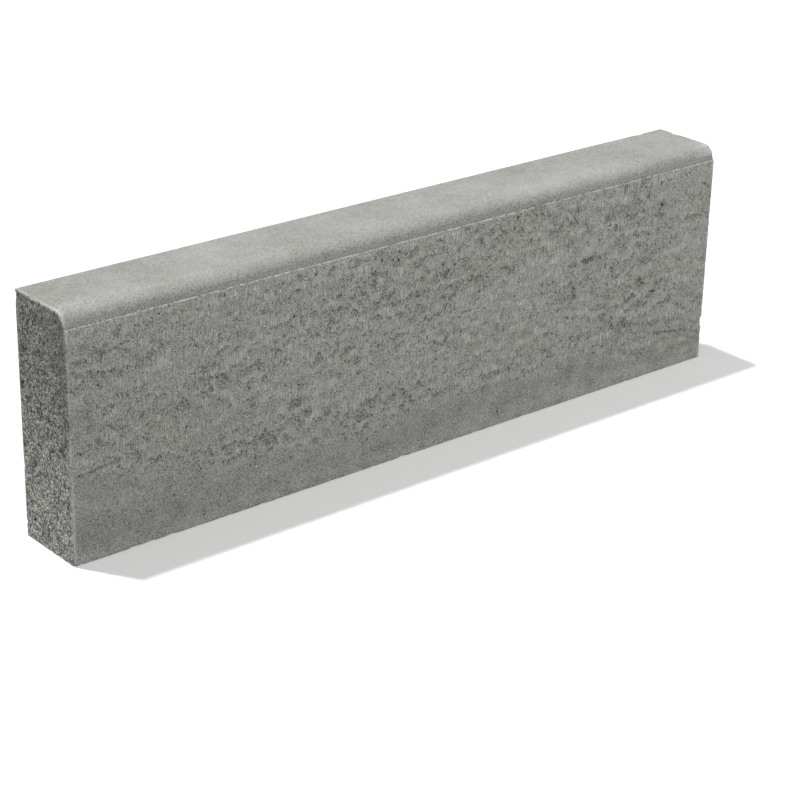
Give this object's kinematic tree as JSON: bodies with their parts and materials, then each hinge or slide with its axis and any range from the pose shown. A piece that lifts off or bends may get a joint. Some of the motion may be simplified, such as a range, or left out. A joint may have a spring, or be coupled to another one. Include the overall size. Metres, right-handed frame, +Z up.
{
  "type": "concrete kerb stone",
  "caption": "Straight pressed concrete kerb stone with a flat top, a rounded top front arris, a fine ledge below the rounding, and flat bed, ends and back.",
  "frame": {"origin": "middle of the bed, the flat underside that the kerb stands on", "axes": "+X along the kerb, -Y towards the road through the rounded front, +Z up"},
  "size_m": [1, 0.1, 0.3],
  "materials": {
    "concrete": "matt grey pressed concrete, finer on top, open-grained on the ends"
  },
  "bodies": {
    "root": {"kerb_stone": "concrete"}
  },
  "joints": []
}
